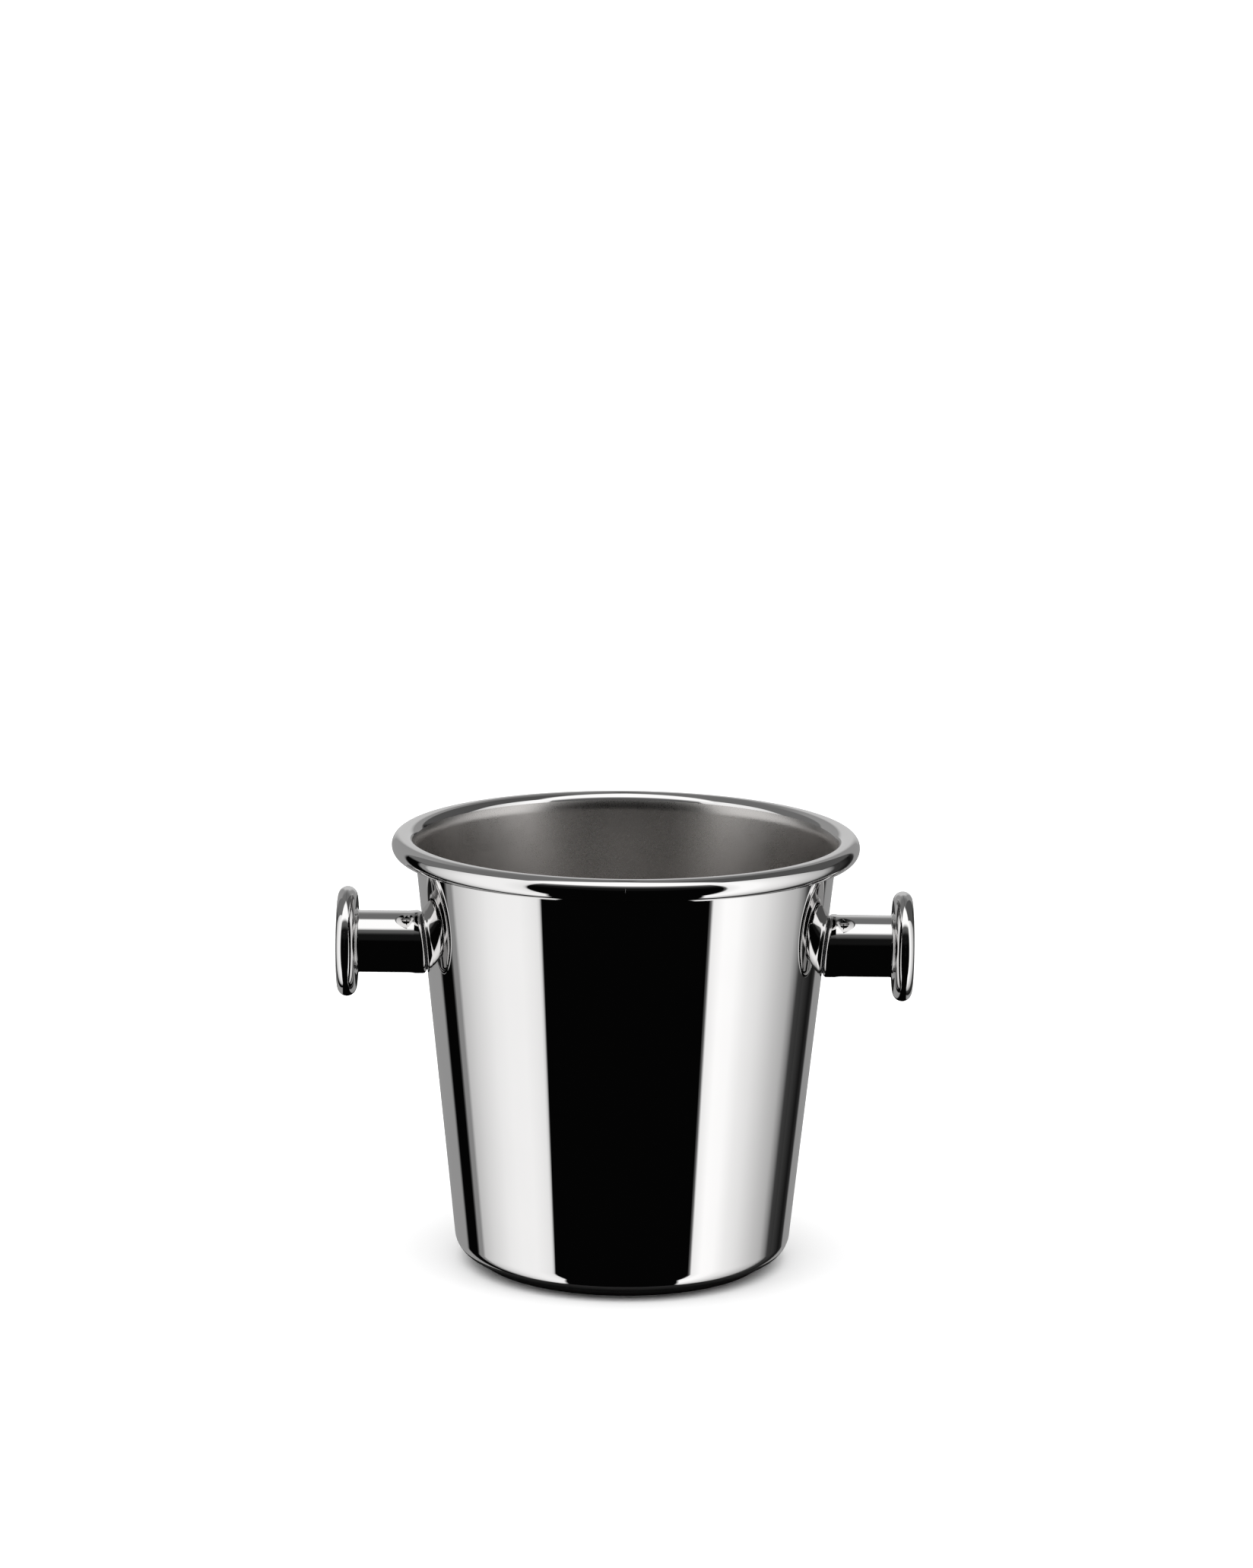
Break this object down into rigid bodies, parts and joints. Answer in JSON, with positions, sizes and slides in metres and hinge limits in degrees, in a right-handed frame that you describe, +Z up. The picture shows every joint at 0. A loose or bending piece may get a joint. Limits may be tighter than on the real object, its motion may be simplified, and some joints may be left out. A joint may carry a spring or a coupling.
{
  "type": "champagne bucket",
  "caption": "Tapered round champagne bucket with a curled rim, a low base ring and fixed knob handles at its sides; holds a bottle in ice.",
  "frame": {"origin": "centre of the face the base ring stands on", "axes": "+Z up along the bucket's axis, +X towards the right handle"},
  "size_m": [0.2464, 0.2, 0.187],
  "materials": {
    "polished_steel": "mirror-polished stainless steel",
    "satin_steel": "fine satin, bead-blasted stainless steel",
    "screw_steel": "bright turned stainless steel",
    "gasket": "thin black sealing ring"
  },
  "bodies": {
    "root": {"bucket_shell": "polished_steel", "base_ring": "polished_steel", "grip_barrel_right": "polished_steel", "disc_back_right": "polished_steel", "disc_face_right": "polished_steel", "seat_gasket_right": "gasket", "root_boss_right": "polished_steel", "saddle_plate_right": "satin_steel", "spring_washer_right": "satin_steel", "fixing_screw_right": "screw_steel", "grip_barrel_left": "polished_steel", "disc_back_left": "polished_steel", "disc_face_left": "polished_steel", "seat_gasket_left": "gasket", "root_boss_left": "polished_steel", "saddle_plate_left": "satin_steel", "spring_washer_left": "satin_steel", "fixing_screw_left": "screw_steel"}
  },
  "joints": []
}
